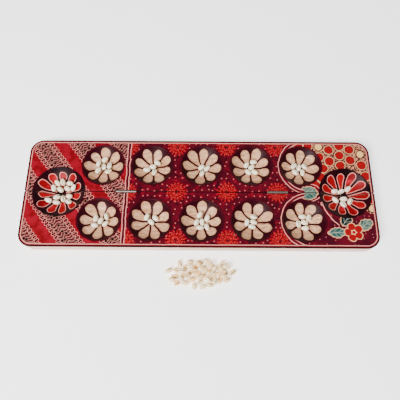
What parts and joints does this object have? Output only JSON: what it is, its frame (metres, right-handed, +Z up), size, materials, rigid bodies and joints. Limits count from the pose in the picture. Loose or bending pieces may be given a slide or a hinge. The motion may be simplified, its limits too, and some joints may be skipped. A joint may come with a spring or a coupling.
{
  "type": "folding mancala board",
  "caption": "Folding wooden mancala board with rows of round pits, a store at each end, seam hinges and loose shell counters.",
  "frame": {"origin": "middle of the open board's underside, on the surface it stands on, on the line of the seam", "axes": "+X along the seam towards the right store, +Y towards the back row of pits, +Z up out of the playing face"},
  "size_m": [0.52, 0.2252, 0.0242],
  "materials": {
    "painted_wood": "hand-painted wax-resist pattern under satin lacquer",
    "hinge_nickel": "worn nickel plate",
    "screw_steel": "plain steel",
    "shell": "natural polished sea shell"
  },
  "bodies": {
    "front_board": {"front_half": "painted_wood", "left_hinge_front_leaf": "hinge_nickel", "left_hinge_front_screws": "screw_steel", "right_hinge_front_leaf": "hinge_nickel", "right_hinge_front_screws": "screw_steel", "left_hinge_pin": "hinge_nickel", "right_hinge_pin": "hinge_nickel"},
    "back_board": {"back_half": "painted_wood", "left_hinge_back_leaf": "hinge_nickel", "left_hinge_back_screws": "screw_steel", "right_hinge_back_leaf": "hinge_nickel", "right_hinge_back_screws": "screw_steel"},
    "front_pit_1_seeds": {"front_pit_1_seeds": "shell"},
    "front_pit_2_seeds": {"front_pit_2_seeds": "shell"},
    "front_pit_3_seeds": {"front_pit_3_seeds": "shell"},
    "front_pit_4_seeds": {"front_pit_4_seeds": "shell"},
    "front_pit_5_seeds": {"front_pit_5_seeds": "shell"},
    "back_pit_1_seeds": {"back_pit_1_seeds": "shell"},
    "back_pit_2_seeds": {"back_pit_2_seeds": "shell"},
    "back_pit_3_seeds": {"back_pit_3_seeds": "shell"},
    "back_pit_4_seeds": {"back_pit_4_seeds": "shell"},
    "back_pit_5_seeds": {"back_pit_5_seeds": "shell"},
    "left_store_front_seeds": {"left_store_front_seeds": "shell"},
    "left_store_back_seeds": {"left_store_back_seeds": "shell"},
    "right_store_front_seeds": {"right_store_front_seeds": "shell"},
    "right_store_back_seeds": {"right_store_back_seeds": "shell"},
    "spare_seeds": {"spare_seeds": "shell"}
  },
  "joints": [
    {"name": "board_fold", "type": "hinge", "parent": "front_board", "child": "back_board", "pos_m": [0, 0, 0.02215], "axis": [1, 0, 0], "range_deg": [0, 180]},
    {"name": "lift_front_pit_1_seeds", "type": "slide", "parent": "front_board", "child": "front_pit_1_seeds", "axis": [0, 0, -1], "range_m": [-0.03, 0]},
    {"name": "lift_front_pit_2_seeds", "type": "slide", "parent": "front_board", "child": "front_pit_2_seeds", "axis": [0, 0, -1], "range_m": [-0.03, 0]},
    {"name": "lift_front_pit_3_seeds", "type": "slide", "parent": "front_board", "child": "front_pit_3_seeds", "axis": [0, 0, -1], "range_m": [-0.03, 0]},
    {"name": "lift_front_pit_4_seeds", "type": "slide", "parent": "front_board", "child": "front_pit_4_seeds", "axis": [0, 0, -1], "range_m": [-0.03, 0]},
    {"name": "lift_front_pit_5_seeds", "type": "slide", "parent": "front_board", "child": "front_pit_5_seeds", "axis": [0, 0, -1], "range_m": [-0.03, 0]},
    {"name": "lift_back_pit_1_seeds", "type": "slide", "parent": "back_board", "child": "back_pit_1_seeds", "axis": [0, 0, -1], "range_m": [-0.03, 0]},
    {"name": "lift_back_pit_2_seeds", "type": "slide", "parent": "back_board", "child": "back_pit_2_seeds", "axis": [0, 0, -1], "range_m": [-0.03, 0]},
    {"name": "lift_back_pit_3_seeds", "type": "slide", "parent": "back_board", "child": "back_pit_3_seeds", "axis": [0, 0, -1], "range_m": [-0.03, 0]},
    {"name": "lift_back_pit_4_seeds", "type": "slide", "parent": "back_board", "child": "back_pit_4_seeds", "axis": [0, 0, -1], "range_m": [-0.03, 0]},
    {"name": "lift_back_pit_5_seeds", "type": "slide", "parent": "back_board", "child": "back_pit_5_seeds", "axis": [0, 0, -1], "range_m": [-0.03, 0]},
    {"name": "lift_left_store_front_seeds", "type": "slide", "parent": "front_board", "child": "left_store_front_seeds", "axis": [0, 0, -1], "range_m": [-0.03, 0]},
    {"name": "lift_left_store_back_seeds", "type": "slide", "parent": "back_board", "child": "left_store_back_seeds", "axis": [0, 0, -1], "range_m": [-0.03, 0]},
    {"name": "lift_right_store_front_seeds", "type": "slide", "parent": "front_board", "child": "right_store_front_seeds", "axis": [0, 0, -1], "range_m": [-0.03, 0]},
    {"name": "lift_right_store_back_seeds", "type": "slide", "parent": "back_board", "child": "right_store_back_seeds", "axis": [0, 0, -1], "range_m": [-0.03, 0]},
    {"name": "lift_spare_seeds", "type": "slide", "parent": "front_board", "child": "spare_seeds", "axis": [0, 0, -1], "range_m": [-0.03, 0]}
  ]
}
